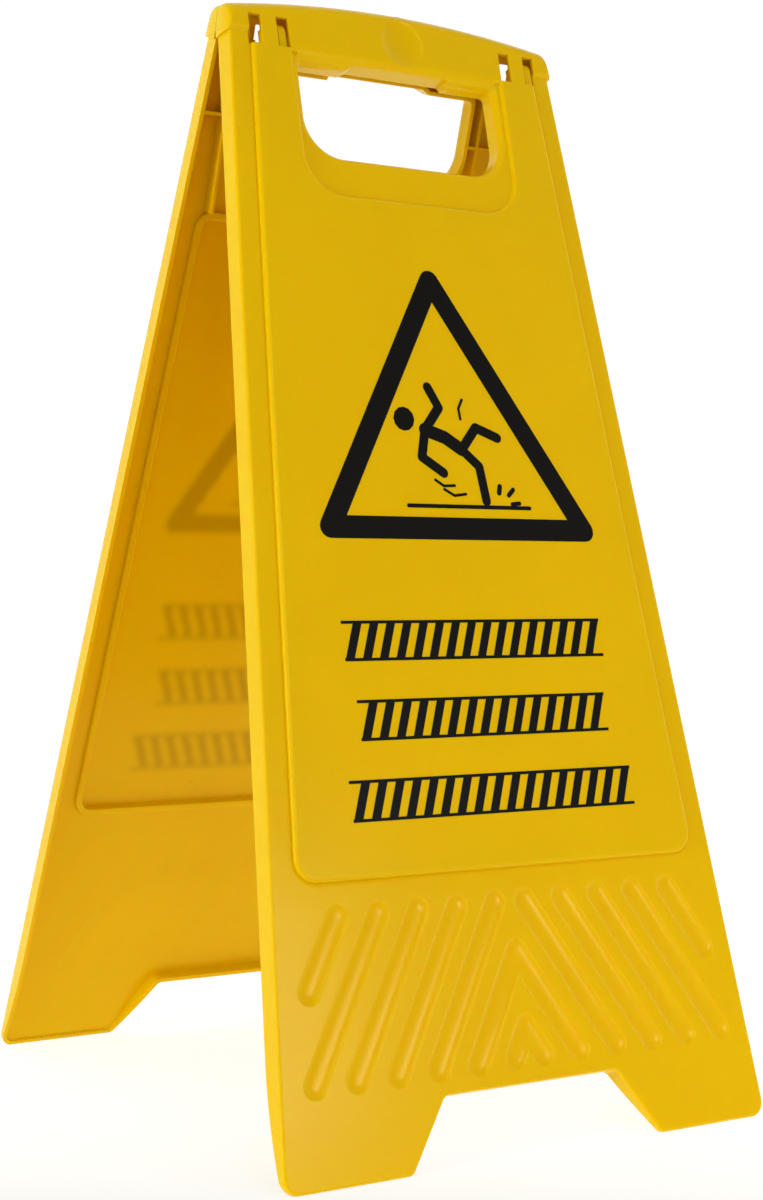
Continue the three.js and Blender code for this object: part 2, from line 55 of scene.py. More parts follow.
MM = 0.001
PANEL_LENGTH = 623
LEAN = math.radians(15.49)      # each panel from the vertical
FOOT_HALF_WIDTH = 149.6
SIDE_TAPER = 0.0728
SHELL_DEPTH = 11.6              # open back to the face of the border
WALL = 2.4
DRAFT_FLARE = 0.8
RIM_RADIUS = 1.6

CROWN_DROP = 8.8
FOOT_CORNER_RADIUS = 8
GAP = {"foot": 77.3, "top": 53.4, "height": 35.3, "radius": 5}
FOOT_CURVE = {"height": 64, "depth": 8.8, "land": 1.2}

BORDER = 13.8
FIELD_RAISE = 2.4
FIELD_RAMP = 2.4                # width of the slope from the border up to the field
FIELD_BOTTOM = 144.3
FIELD_TOP = 603
FIELD_RADIUS = 12
SINK = {"width": 1.9, "depth": 0.4}     # the sink line round the foot of the field
FACE = SHELL_DEPTH + FIELD_RAISE
TRAY_FLOOR = SHELL_DEPTH - WALL         # inside of the wall behind the border
POCKET_FLOOR = FACE - WALL              # inside of the wall behind the raised field

HEAD_BOTTOM = 597
HEAD_PROUD = 1.1
HEAD_ROUNDING = (10, 7.5, 2.2)  # depth, drop at the crown, and in from the sides
HEAD_CORNER_RADII = (3, 9)
# The dished thumb rest in the head, and the pad behind it.
DISH = {"radius": 14, "depth": 2.1, "fullness": 0.65, "x": 4, "y": 603.5}
PAD = {"radius": 17, "thickness": 1.8, "overlap": 0.4}

OPENING_HALF = 64
OPENING_TOP = 584.2
OPENING_BOTTOM = 531.2
OPENING_RADIUS = 22
OPENING_LIP = 3.6
GRIP_ROUNDING = 9
RECESS = {"half": 70.4, "bottom": 506.4, "top": 591, "radius": 25, "ramp": 2.2}
FINGER_NOTCH = (-36, 34.5, 2.6) # left and right end, and height

AXIS_Y = 601.2                  # the hinge axis, in the panel's frame
AXIS_Z = -0.25
HEAD_GAP = 0.15                 # from the middle plane to the stop on each head
PIN_RADIUS = 2
PIN_CLEARANCE = 0.3
HOOK = {"radius": 4.6, "thickness": 4.4, "nose": 7, "root": 3, "proud": 0.8}
CHEEK = {"thickness": 2.2, "radius": 3.4}   # the plate that each pin stands on
STATIONS = (73, 90)             # hinge stations, from the middle of the panel
WINDOW = {"width": 7.6, "bottom": 590.5, "top": 607.5}

RIB = 1.8                       # thickness of the full ribs, and where their backs lie
RIB_BACK = 0.5
BEAD = {"outer": 1.6, "inner": 5.8, "back": 6.6}    # the low rib round the pocket
POCKET_TOP = 506
POCKET_BOTTOM = 144.6
CROSS_RIB_Y = 558

GROOVE = {"width": 13.4, "depth": 1.3, "top": 133.5, "bottom": 42, "lean": 0.593, "swelling": 0.6}
GROOVE_PITCH = 23.6
GROOVE_FIRST = 9.3
GROOVE_SHORT = 34               # height of the outermost groove
PEAKS = (101.6, 63.2)           # where the two chevrons in the middle come to a point

EJECTOR_RADIUS = 3.2
EJECTOR_MARKS = [               # x, y and the floor that they stand on
    (-46, 160, POCKET_FLOOR), (46, 160, POCKET_FLOOR), (-104, 330, POCKET_FLOOR),
    (104, 330, POCKET_FLOOR), (-46, 480, POCKET_FLOOR), (46, 480, POCKET_FLOOR),
    (-110, 60, TRAY_FLOOR), (110, 60, TRAY_FLOOR),
]
WITNESS_LINE = {"x": -28, "half": 0.4, "low": 38, "high": 278}
TOOTH = {"pitch": 2.6, "base": 0.1, "tip": 0.9}     # the teeth along the feet

# The grid on the pocket floor that holds the print's painted shadow, the shade it casts through the wall.
GRID = {"rows": 222, "columns": 152, "margin": 8, "level": POCKET_FLOOR + 0.03}

INK_GAP = 0.25
INK_THICKNESS = 0.3
INK_PROUD = 0.06                # what the film really stands out of the face

MARKS = [                       # width of the stroke, and the points that it passes
    (1.6, [(11, 396.5), (8, 391.5), (8.4, 385.5)]),
    (1.6, [(-13, 351), (-8, 347.8), (-1, 348.2)]),
    (1.6, [(-8, 346), (-2, 342.6), (5.5, 343.6)]),
    (3.0, [(27.4, 344.8), (28.4, 348.4)]),
    (2.6, [(33.6, 343.6), (37, 346.8)]),
    (2.4, [(35.2, 338.6), (40, 339.2)]),
]

HINGE_HEIGHT = frame["joints"][0]["pos_m"][2]
ROUND_STEPS = 10

# ---------------------------------------------------------------- looks, light and camera

PAINTED_PRINT_SHADOW = "show_through"   # painted shadow: how strongly the print on the face shades a place on the inside
YELLOWS = ((230, 187, 0), (235, 192, 0))    # the plastic, along its faint flow marks
PRINT_SHADOW_YELLOW = (206, 158, 0)                # painted shade: the darker plastic where the print on the face shades the light let through the wall
BLACKS = ((10, 9, 8), (14, 12, 10))         # the ink
YELLOW_SHEEN = 0.17
YELLOW_SHEEN_TINT = (1, 0.9, 0.45, 1)
BLACK_SHEEN = 0.1
GLOW = {"weight": 0.8, "reach": (1.0, 0.32, 0.03), "depth": 2.4}    # light let into the plastic
EDGE_ROUNDING = 0.45            # softening of edges by the shader, in mm
SHARP_ANGLE = math.radians(32)

LIGHTS = {                      # place, target, width and height, all in m, then watts and colour
    "key": ((-0.5, -2.2, 1.4), (0, 0, 0.28), (1.1, 1.1), 9, (1, 1, 1)),
    "kicker": ((-2.2, -0.3, 0.5), (0, 0, 0.28), (0.7, 1.5), 31, (0.95, 1.06, 0.6)),
    "sheen": ((0.47, -1.4, 0.42), (-0.12, -0.15, 0.12), (0.28, 0.3), 3.4, (1, 1, 1)),
}
# Strength on the camera's side and behind the sign, and the stretch over which it changes.
BACKDROP = {"strength": (0.36, 1.02), "reach": (-0.3, 0.75)}
FLOOR_GLOW = {"strength": (0.3, 0.8), "reach": (-0.6, -0.05)}
FLOOR_GREYS = (0.34, 0.37)
FLOOR_REACH = 40

CAMERA = {
    "place": (-0.6592, -1.0509, 0.3181),
    "yaw": 0.5866, "pitch": -0.0296, "roll": 0.0211,
    "lens": 65.9, "shift": (-0.0414, -0.0126),
}


def side_at(y):
    return FOOT_HALF_WIDTH - SIDE_TAPER * y


# ---------------------------------------------------------------- outlines

def inset(corners, amount):
    """Moves every edge of a closed outline of corners (x, y, radius) inwards."""
    edges = []
    for (x, y, _), (nx, ny, _) in zip(corners, corners[1:] + corners[:1]):
        length = math.hypot(nx - x, ny - y)
        dx, dy = (nx - x) / length, (ny - y) / length
        edges.append((x - dy * amount, y + dx * amount, dx, dy))
    moved = []
    for i, (_, _, radius) in enumerate(corners):
        ax, ay, adx, ady = edges[i - 1]
        bx, by, bdx, bdy = edges[i]
        cross = adx * bdy - ady * bdx
        along = ((bx - ax) * bdy - (by - ay) * bdx) / cross
        grown = radius - amount if cross > 0 else radius + amount
        moved.append((ax + adx * along, ay + ady * along, max(grown, 0.4) if radius else 0))
    return moved


def rounded(corners, steps=ROUND_STEPS):
    """The points of an outline, with each corner that has a radius rounded."""
    points = []
    for i, (x, y, radius) in enumerate(corners):
        corner = Vector((x, y))
        if not radius:
            points.append((x, y))
            continue
        before = (Vector(corners[i - 1][:2]) - corner).normalized()
        after = (Vector(corners[(i + 1) % len(corners)][:2]) - corner).normalized()
        half = before.angle(after) / 2
        centre = corner + (before + after).normalized() * (radius / math.sin(half))
        arm = corner + before * (radius / math.tan(half)) - centre
        turn = math.copysign(math.pi - 2 * half, -(before.x * after.y - before.y * after.x))
        for step in range(steps + 1):
            angle = turn * step / steps
            turned = Matrix.Rotation(angle, 2) @ arm
            points.append(tuple(centre + turned))
    return points


def crown(half, top, radius):
    arc = half ** 2 / (2 * CROWN_DROP) + CROWN_DROP / 2
    inner = [half * (1 - part / 12) for part in range(1, 24)]
    middle = [(x, top - arc + math.sqrt(arc ** 2 - x ** 2), 0) for x in inner]
    return [(half, top - CROWN_DROP, radius)] + middle + [(-half, top - CROWN_DROP, radius)]


def mirrored(right):
    """An outline from its right half, which runs anticlockwise from the middle of the foot."""
    return [(-x, y, radius) for x, y, radius in reversed(right)] + right


TRAY = mirrored([
    (GAP["top"], GAP["height"], GAP["radius"]),
    (GAP["foot"], 0, GAP["radius"]),
    (FOOT_HALF_WIDTH, 0, FOOT_CORNER_RADIUS),
    (side_at(PANEL_LENGTH), PANEL_LENGTH - 10 - CROWN_DROP, 6),
])


def field(bottom, top):
    half = [side_at(y) - BORDER for y in (bottom, top)]
    return mirrored([(half[0], bottom, FIELD_RADIUS), (half[1], top, FIELD_RADIUS)])


def opening(larger, higher):
    half = OPENING_HALF + larger
    return mirrored([
        (half, OPENING_BOTTOM - larger, OPENING_RADIUS + larger),
        (half, OPENING_TOP + higher, 3),
    ])


RECESS_OUTLINE = mirrored([
    (RECESS["half"], RECESS["bottom"], RECESS["radius"]),
    (RECESS["half"], RECESS["top"], 2),
    (OPENING_HALF, RECESS["top"], 2),
    (OPENING_HALF - 2, OPENING_TOP - 1, 0),
])


def notch(larger):
    left, right, height = FINGER_NOTCH
    top = OPENING_TOP + height + larger
    return [
        (left - larger, OPENING_TOP - 1, 0),
        (right + larger, OPENING_TOP - 1, 0),
        (right - 1.5 + larger, top, 1),
        (left + 7 - larger, top, 2),
    ]


def capsule(a, b, radius, steps=12):
    """The outline of a bar with round ends."""
    along = Vector(b) - Vector(a)
    heading = math.atan2(along.y, along.x)
    points = []
    for centre, start in ((b, heading - math.pi / 2), (a, heading + math.pi / 2)):
        for i in range(steps + 1):
            angle = start + math.pi * i / steps
            points.append((centre[0] + radius * math.cos(angle), centre[1] + radius * math.sin(angle)))
    return points


def circle(x, y, radius, steps=12):
    """The outline of a round pad, drawn as a very short bar."""
    return capsule((x - 0.01, y), (x + 0.01, y), radius, steps)


# ---------------------------------------------------------------- solids

def linked(name, data):
    """Puts an object with this data into the scene."""
    made = bpy.data.objects.new(name, data)
    bpy.context.scene.collection.objects.link(made)
    return made


def solid(vertices, faces):
    mesh = bpy.data.meshes.new("solid")
    mesh.from_pydata(vertices, [], faces)
    return linked("solid", mesh)


def lofted(loops):
    """A closed solid through loops (points, z) of equally many points."""
    size = len(loops[0][0])
    vertices = [(x, y, z) for points, z in loops for x, y in points]
    faces = [list(reversed(range(size)))]
    for level in range(len(loops) - 1):
        for i in range(size):
            a, b = level * size + i, level * size + (i + 1) % size
            faces.append([a, b, b + size, a + size])
    top = (len(loops) - 1) * size
    faces.append([top + i for i in range(size)])
    return solid(vertices, faces)


def stacked(corners, steps):
    """A solid whose outline is moved inwards level by level: steps are (inset, z)."""
    return lofted([(rounded(inset(corners, amount)), z) for amount, z in steps])


def slab(corners, low, high):
    return stacked(corners, [(0, low), (0, high)])


def box(x0, x1, y0, y1, z0, z1):
    return slab([(x0, y0, 0), (x1, y0, 0), (x1, y1, 0), (x0, y1, 0)], z0, z1)


def plate(profile, x0, x1):
    """A plate across X, from an outline of (z, y) points."""
    made = lofted([(profile, x0), (profile, x1)])
    made.data.transform(Matrix(((0, 0, 1, 0), (0, 1, 0, 0), (1, 0, 0, 0), (0, 0, 0, 1))))
    made.data.flip_normals()
    return made


def rod(radius, x0, x1, sides=32):
    angles = [math.tau * i / sides for i in range(sides)]
    ring = [(AXIS_Z + radius * math.cos(a), AXIS_Y + radius * math.sin(a)) for a in angles]
    return plate(ring, x0, x1)


def turned(profile, sides=64):
    """A solid turned round Z, from (radius, z) points that start and end off the axis."""
    loops = []
    for radius, z in profile:
        ring = [(radius * math.cos(math.tau * i / sides), radius * math.sin(math.tau * i / sides))
                for i in range(sides)]
        loops.append((ring, z))
    return lofted(loops)


def combined(base, others, operation):
    for other in others:
        step = base.modifiers.new("step", "BOOLEAN")
        step.operation = operation
        step.solver = "MANIFOLD"
        step.object = other
    evaluated = base.evaluated_get(bpy.context.evaluated_depsgraph_get())
    mesh = bpy.data.meshes.new_from_object(evaluated)
    base.modifiers.clear()
    base.data = mesh
    for other in others:
        bpy.data.objects.remove(other)
    return base


def added(base, *others):
    return combined(base, others, "UNION")


def cut(base, *others):
    return combined(base, others, "DIFFERENCE")


def quarter(radius, z, steps=ROUND_STEPS):
    """Steps of a quarter round that ends at height z."""
    angles = [math.pi / 2 * i / steps for i in range(steps + 1)]
    return [(radius * (1 - math.cos(a)), z - radius + radius * math.sin(a)) for a in angles]


def ramp(insets, heights, steps=ROUND_STEPS):
    """Steps of a slope that starts steeply at its foot and is rounded over into the upper level."""
    width = insets[1] - insets[0]
    rise = heights[1] - heights[0]
    angles = [math.pi / 2 * i / steps for i in range(steps + 1)]
    return [(insets[0] + width * (1 - math.cos(a)), heights[0] + rise * math.sin(a)) for a in angles]


# ---------------------------------------------------------------- the moulded panel

def below_head(lift):
    """What is cut away under the head, with a slope down from the face to the border."""
    edge = HEAD_BOTTOM + lift
    return plate([
        (-1, edge - 60),
        (FACE + 1, edge - 60),
        (FACE + 1, edge + 2.5),
        (SHELL_DEPTH, edge),
        (-1, edge),
    ], -FOOT_HALF_WIDTH, FOOT_HALF_WIDTH)


def head_form(inside, face, lowest):
    """The head: its outline shrinks into the face along a quarter ellipse."""
    depth, drop, narrowing = HEAD_ROUNDING
    sharp, blunt = HEAD_CORNER_RADII

    def outline(amount):
        narrow = inside + narrowing * amount
        radius = sharp + (blunt - sharp) * amount
        foot = side_at(OPENING_TOP) + HEAD_PROUD - narrow
        half = side_at(PANEL_LENGTH) + HEAD_PROUD - narrow
        arch = crown(half, PANEL_LENGTH - inside - drop * amount, radius)
        return rounded([(-foot, OPENING_TOP, 0), (foot, OPENING_TOP, 0)] + arch)

    loops = [(outline(0), lowest)]
    for i in range(17):
        angle = math.pi / 2 * i / 16
        loops.append((outline(1 - math.cos(angle)), face - depth * (1 - math.sin(angle))))
    return lofted(loops)


def outer_form():
    """The outside of the panel: tray, raised field and head, all still solid."""
    tray = stacked(TRAY, [(-DRAFT_FLARE, 0)] + quarter(RIM_RADIUS, SHELL_DEPTH))
    width, depth = SINK["width"], SINK["depth"]
    sink = [(-width * (1 - math.cos(a)), SHELL_DEPTH - depth * math.cos(a) ** 2)
            for a in np.linspace(0, 1.57, 7)]
    tray = cut(tray, stacked(field(FIELD_BOTTOM, FIELD_TOP), sink + [(-width, SHELL_DEPTH + 1)]))
    slope = ramp((0, FIELD_RAMP), (SHELL_DEPTH, FACE))
    raised = stacked(field(FIELD_BOTTOM, FIELD_TOP), [(0, SHELL_DEPTH - 1)] + slope)
    head = cut(head_form(0, FACE, 0), below_head(0))
    return added(tray, raised, head)


def pocket_grid():
    """The places of a fine grid on the pocket floor, row by row from its foot."""
    ys = np.linspace(POCKET_BOTTOM + GRID["margin"], POCKET_TOP - GRID["margin"], GRID["rows"])
    half = side_at(ys) - BORDER - GRID["margin"]
    xs = np.linspace(-1, 1, GRID["columns"])[None, :] * half[:, None]
    return np.stack([xs, np.repeat(ys[:, None], GRID["columns"], 1), np.full(xs.shape, GRID["level"])], 2)


def pocket_floor():
    """A thin solid with the grid as its top, so that the wall it is cut from keeps the grid."""
    rows, columns = GRID["rows"], GRID["columns"]
    top = pocket_grid().reshape(-1, 3)
    rim = list(range(columns))
    rim += [row * columns + columns - 1 for row in range(1, rows)]
    rim += [(rows - 1) * columns + column for column in reversed(range(columns - 1))]
    rim += [row * columns for row in reversed(range(1, rows - 1))]
    faces = []
    for row in range(rows - 1):
        for column in range(columns - 1):
            a = row * columns + column
            faces.append((a, a + 1, a + columns + 1, a + columns))
    below = len(top)
    size = len(rim)
    for i in range(size):
        after = (i + 1) % size
        faces.append((below + i, below + after, rim[after], rim[i]))
    faces.append(tuple(below + i for i in reversed(range(size))))
    low = [(x, y, z - 0.6) for x, y, z in top[rim]]
    return solid(top.tolist() + low, faces)


def hollows():
    """What the open back leaves out of the solid form, down to an even wall."""
    inner = BEAD["inner"]
    tray = stacked(TRAY, [(WALL - DRAFT_FLARE, -1), (WALL, TRAY_FLOOR - 1),
                          (WALL + 0.3, TRAY_FLOOR - 0.3), (WALL + 1, TRAY_FLOOR)])
    slope = ramp((inner, inner + 1), (TRAY_FLOOR, POCKET_FLOOR))
    pocket = stacked(field(POCKET_BOTTOM, POCKET_TOP), [(inner, TRAY_FLOOR - 3)] + slope)
    head = cut(head_form(WALL, POCKET_FLOOR, -1), below_head(WALL))
    return [tray, pocket, head, pocket_floor()]


def bead(root):
    """The low rib round the pocket, with its back rounded."""
    around = field(POCKET_BOTTOM, POCKET_TOP)
    outer, inner, back = BEAD["outer"], BEAD["inner"], BEAD["back"]
    body = [(outer + 0.9, back), (outer + 0.25, back + 0.3), (outer, back + 0.9), (outer, root)]
    hole = [(inner - 0.9, back - 0.1), (inner - 0.25, back + 0.3), (inner, back + 0.9),
            (inner, root + 1)]
    return cut(stacked(around, body), stacked(around, hole))


def ribs():
    """The bead, the ribs beside the handle opening and its flange, and the thumb rest's pad."""
    root = SHELL_DEPTH - 1
    half = RIB / 2
    near = OPENING_HALF + 1
    far = side_at(CROSS_RIB_Y) - 2

    def upright(x):
        return box(x - half, x + half, POCKET_TOP - RIB, WINDOW["bottom"], RIB_BACK, root)

    def cross(x0, x1):
        return box(x0, x1, CROSS_RIB_Y - half, CROSS_RIB_Y + half, RIB_BACK, root)

    ring = circle(DISH["x"], DISH["y"], PAD["radius"], 24)
    pad = lofted([(ring, POCKET_FLOOR - PAD["thickness"]), (ring, POCKET_FLOOR + PAD["overlap"])])
    return [
        bead(root), cross(-far, -near), cross(near, far),
        upright(-STATIONS[0]), upright(STATIONS[1] + 2.5),
        slab(opening(WALL, WALL), 0, root), slab(notch(WALL), 0, root), pad,
    ]


def groove(a, b):
    """A shallow round-bottomed channel with round ends and a soft shoulder."""
    radius = GROOVE["width"] / 2
    flatness, steepness = 2.4, 0.75
    loops = []
    for share in (0.08, 0.25, 0.42, 0.57, 0.7, 0.8, 0.88, 0.94, 0.98):
        sunk = GROOVE["depth"] * (1 - share ** flatness) ** steepness
        loops.append((capsule(a, b, radius * share), SHELL_DEPTH - sunk))
    loops.append((capsule(a, b, radius * 1.01), SHELL_DEPTH - 0.06))
    loops.append((capsule(a, b, radius * 1.05), SHELL_DEPTH))
    loops.append((capsule(a, b, radius * 1.08), SHELL_DEPTH + 1))
    return lofted(loops)


def groove_lines():
    """The two ends of each groove's middle line, left and right of the middle."""
    start = GROOVE["top"] - GROOVE["width"] / 2
    end = GROOVE["bottom"] + GROOVE["width"] / 2
    lines = [(GROOVE_FIRST + GROOVE_PITCH * i, start, end) for i in range(4)]
    lines.append((GROOVE_FIRST + GROOVE_PITCH * 4, start, start - GROOVE_SHORT))
    lines += [(0, apex, end) for apex in PEAKS]
    ends = []
    for x, high, low in lines:
        out = x + GROOVE["lean"] * (high - low)
        ends += [((way * x, high), (way * out, low)) for way in (-1, 1)]
    return ends


def groove_back(a, b):
    """The low swelling that a groove leaves on the inside of the wall."""
    radius = GROOVE["width"] / 2
    return lofted([
        (capsule(a, b, radius * 0.72), TRAY_FLOOR - GROOVE["swelling"]),
        (capsule(a, b, radius), TRAY_FLOOR),
        (capsule(a, b, radius), TRAY_FLOOR + 0.6),
    ])


def opening_cut():
    """The handle opening, with its edges rounded into the face; the grip is rounded more."""
    def rounding(radius, z, end):
        rise = min(max(z - end + radius, 0), radius)
        return radius - math.sqrt(radius ** 2 - rise ** 2)

    low = FACE - GRIP_ROUNDING
    curve = [low + GRIP_ROUNDING * math.sin(math.pi / 2 * i / 24) for i in range(24)]
    loops = []
    for z in [-1, low - 0.1, *curve, FACE, FACE + 1]:
        side = rounding(OPENING_LIP, z, SHELL_DEPTH)
        grip = rounding(GRIP_ROUNDING, z, FACE)
        loops.append((rounded(opening(side, grip), 16), z))
    return lofted(loops)


def recess_cut():
    """The part of the field round the handle opening that lies back at the border's level."""
    slope = ramp((RECESS["ramp"], 0), (SHELL_DEPTH, FACE))
    return stacked(RECESS_OUTLINE, slope + [(0, FACE + 1)])


def dish_cut():
    radius, depth = DISH["radius"], DISH["depth"]
    shares = [i / 16 for i in range(1, 17)]
    profile = [(radius * share, FACE - depth * (1 - share ** 2) ** DISH["fullness"]) for share in shares]
    bowl = turned(profile + [(radius + 0.6, FACE + 0.3), (radius + 1.4, FACE + depth + 3)])
    bowl.data.transform(Matrix.Translation((DISH["x"], DISH["y"], 0)))
    return bowl


def windows():
    """The four slots in the head, in front of the hooks and pins."""
    half = WINDOW["width"] / 2
    return [box(x - half, x + half, WINDOW["bottom"], WINDOW["top"], TRAY_FLOOR - 2, FACE + 1)
            for x in (-STATIONS[1], -STATIONS[0], STATIONS[0], STATIONS[1])]


def trims():
    """The stop on the middle plane, the open edge's forward curve at the feet, and the lands."""
    slope = math.tan(LEAN)
    wide = FOOT_HALF_WIDTH + 10
    above = 30
    stop = plate([
        (-20, AXIS_Y),
        (AXIS_Z + HEAD_GAP, AXIS_Y),
        (AXIS_Z + HEAD_GAP + above * slope, AXIS_Y + above),
        (-20, AXIS_Y + above),
    ], -wide, wide)
    height, depth = FOOT_CURVE["height"], FOOT_CURVE["depth"]
    radius = (height ** 2 + depth ** 2) / (2 * depth)
    drops = [height * (24 - i) / 24 for i in range(25)]
    curve = [(radius - math.sqrt(radius ** 2 - drop ** 2), height - drop) for drop in drops]
    toe = plate([(-3, -5), (depth, -5)] + curve + [(-3, height)], -wide, wide)
    floor = depth + FOOT_CURVE["land"]
    land = plate([(-3, -5), (floor, -5), (floor, 0), (-3, (floor + 3) * slope)], -wide, wide)
    return [stop, toe, land]


def ejector_marks():
    """Faint discs that the ejector pins leave on the inside of the wall."""
    made = []
    for x, y, level in EJECTOR_MARKS:
        ring = circle(x, y, EJECTOR_RADIUS)
        made.append(lofted([(ring, level - 0.2), (ring, level + 0.3)]))
    return made


def witness_line():
    """A faint line up the inside of the wall, within the pocket and below it."""
    left = WITNESS_LINE["x"] - WITNESS_LINE["half"]
    right = WITNESS_LINE["x"] + WITNESS_LINE["half"]
    stretches = [
        (POCKET_BOTTOM + 4, WITNESS_LINE["high"], POCKET_FLOOR),
        (WITNESS_LINE["low"], POCKET_BOTTOM + 1, TRAY_FLOOR),
    ]
    return [box(left, right, low, high, level - 0.4, level + 0.3) for low, high, level in stretches]


def foot_teeth():
    """A row of small teeth along the inside of each foot's end."""
    first, last = GAP["foot"] + 7, FOOT_HALF_WIDTH - 9
    base, tip = WALL + TOOTH["base"], WALL + TOOTH["tip"]
    comb = [(last, WALL - 1), (first, WALL - 1)]
    for i in range(int((last - first) / TOOTH["pitch"])):
        near = first + i * TOOTH["pitch"]
        far = near + TOOTH["pitch"] / 2
        comb += [(near, base), (near, tip), (far, tip), (far, base)]
    comb.append((last, base))
    combs = [[(-x, y) for x, y in comb], comb[::-1]]
    return [lofted([(ring, FOOT_CURVE["depth"] - 0.6), (ring, TRAY_FLOOR + 0.2)]) for ring in combs]


def inner_marks():
    """All that the mould leaves on the inside."""
    backs = [groove_back(a, b) for a, b in groove_lines()]
    return backs + ejector_marks() + witness_line() + foot_teeth()


def shell():
    """The whole panel but its hooks and pins."""
    hollowed = cut(outer_form(), *hollows())
    moulded = added(hollowed, *ribs(), *inner_marks())
    grooves = [groove(a, b) for a, b in groove_lines()]
    return cut(moulded, opening_cut(), recess_cut(), slab(notch(0), -1, FACE + 1), dish_cut(),
               *grooves, *windows(), *trims())


def hook(x):
    """A plate that reaches back round the other panel's pin, open towards it."""
    def arc(z, y, radius, first, last, steps):
        angles = [math.radians(first + (last - first) * i / steps) for i in range(steps + 1)]
        return [(z + radius * math.cos(a), y + radius * math.sin(a)) for a in angles]

    nose, root, radius = HOOK["nose"], HOOK["root"], HOOK["radius"]
    front = SHELL_DEPTH + HOOK["proud"]
    profile = [(root, OPENING_TOP + WALL), (front, OPENING_TOP + WALL)]
    profile += arc(front - nose, AXIS_Y - 2, nose, 0, 90, 12)
    profile += arc(AXIS_Z, AXIS_Y, radius, 90, 290, 24)
    profile.append((root, AXIS_Y - 8))
    x0, x1 = x - HOOK["thickness"] / 2, x + HOOK["thickness"] / 2
    mouth = PIN_RADIUS * 0.85
    bore = rod(PIN_RADIUS + PIN_CLEARANCE, x0 - 1, x1 + 1)
    return cut(plate(profile, x0, x1), bore,
               box(x0 - 1, x1 + 1, AXIS_Y - mouth, AXIS_Y + mouth, AXIS_Z - radius - 2, AXIS_Z))


def pin(x):
    """A pin that stands sideways on a cheek."""
    reach = WINDOW["width"] / 2
    near = x - reach - 1
    far = near - CHEEK["thickness"]
    angles = [math.radians(100 + 8 * i) for i in range(21)]
    radius = CHEEK["radius"]
    cheek = [(AXIS_Z + radius * math.cos(a), AXIS_Y + radius * math.sin(a)) for a in angles]
    root = SHELL_DEPTH - 1
    return added(plate(cheek + [(root, AXIS_Y - 12), (root, AXIS_Y + 9)], far, near),
                 rod(PIN_RADIUS, far, x + reach))


# ---------------------------------------------------------------- materials

def nodes_of(name):
    material = bpy.data.materials.new(name)
    material.use_nodes = True
    tree = material.node_tree
    return material, tree, tree.nodes["Principled BSDF"]


def noise(tree, scale, detail=3.0, roughness=0.5):
    place = tree.nodes.new("ShaderNodeTexCoord")
    made = tree.nodes.new("ShaderNodeTexNoise")
    made.inputs["Scale"].default_value = scale
    made.inputs["Detail"].default_value = detail
    made.inputs["Roughness"].default_value = roughness
    tree.links.new(place.outputs["Object"], made.inputs["Vector"])
    return made


def mapped(tree, source, low, high):
    """A noise stretched from low to high."""
    made = tree.nodes.new("ShaderNodeMapRange")
    made.inputs["To Min"].default_value = low
    made.inputs["To Max"].default_value = high
    tree.links.new(source.outputs["Fac"], made.inputs["Value"])
    return made


def bump(tree, height, strength, distance, under=None):
    """Bumps the surface by a noise, over the normals of the node under it."""
    made = tree.nodes.new("ShaderNodeBump")
    made.inputs["Strength"].default_value = strength
    made.inputs["Distance"].default_value = distance
    tree.links.new(height.outputs["Fac"], made.inputs["Height"])
    if under:
        tree.links.new(under.outputs["Normal"], made.inputs["Normal"])
    return made


def mixed(tree, factor, first, second):
    made = tree.nodes.new("ShaderNodeMix")
    made.data_type = "RGBA"
    made.inputs["A"].default_value = (*first, 1)
    made.inputs["B"].default_value = (*second, 1)
    tree.links.new(factor, made.inputs["Factor"])
    return made


def linear(red, green, blue):
    """An sRGB colour, from 0 to 255, as linear light."""
    return tuple(((v / 255 + 0.055) / 1.055) ** 2.4 if v > 10 else v / 255 / 12.92
                 for v in (red, green, blue))


def moulded_yellow():
    """Semi-gloss polypropylene: faint flow marks, an even fine texture and slightly rounded edges, with
    the print's shadow through the wall painted on as darker yellow.
    """
    material, tree, shader = nodes_of("moulded_yellow")
    flow = noise(tree, 9, 2)
    flow.inputs["Distortion"].default_value = 1.2
    streaks = mapped(tree, flow, -0.3, 1.3)
    plain = mixed(tree, streaks.outputs["Result"], *[linear(*shade) for shade in YELLOWS])
    # Painted shadow of the print: light let through the wall is shaded by the ink on the face, so the
    # pocket floor is painted darker yellow there.
    print_shadow_mask = tree.nodes.new("ShaderNodeAttribute")
    print_shadow_mask.attribute_name = PAINTED_PRINT_SHADOW
    colour = mixed(tree, print_shadow_mask.outputs["Fac"], (0, 0, 0), linear(*PRINT_SHADOW_YELLOW))
    tree.links.new(plain.outputs["Result"], colour.inputs["A"])
    tree.links.new(colour.outputs["Result"], shader.inputs["Base Color"])
    gloss = mapped(tree, noise(tree, 60, 4), 0.17, 0.24)
    tree.links.new(gloss.outputs["Result"], shader.inputs["Roughness"])
    edge = tree.nodes.new("ShaderNodeBevel")
    edge.samples = 4
    edge.inputs["Radius"].default_value = EDGE_ROUNDING * MM
    fine = bump(tree, noise(tree, 1400, 2), 0.12, 0.05 * MM, edge)
    broad = bump(tree, noise(tree, 22, 1), 0.25, 0.5 * MM, fine)
    tree.links.new(broad.outputs["Normal"], shader.inputs["Normal"])
    shader.inputs["Specular IOR Level"].default_value = YELLOW_SHEEN
    shader.inputs["Specular Tint"].default_value = YELLOW_SHEEN_TINT
    shader.inputs["Subsurface Weight"].default_value = GLOW["weight"]
    shader.inputs["Subsurface Radius"].default_value = GLOW["reach"]
    shader.inputs["Subsurface Scale"].default_value = GLOW["depth"] * MM
    return material


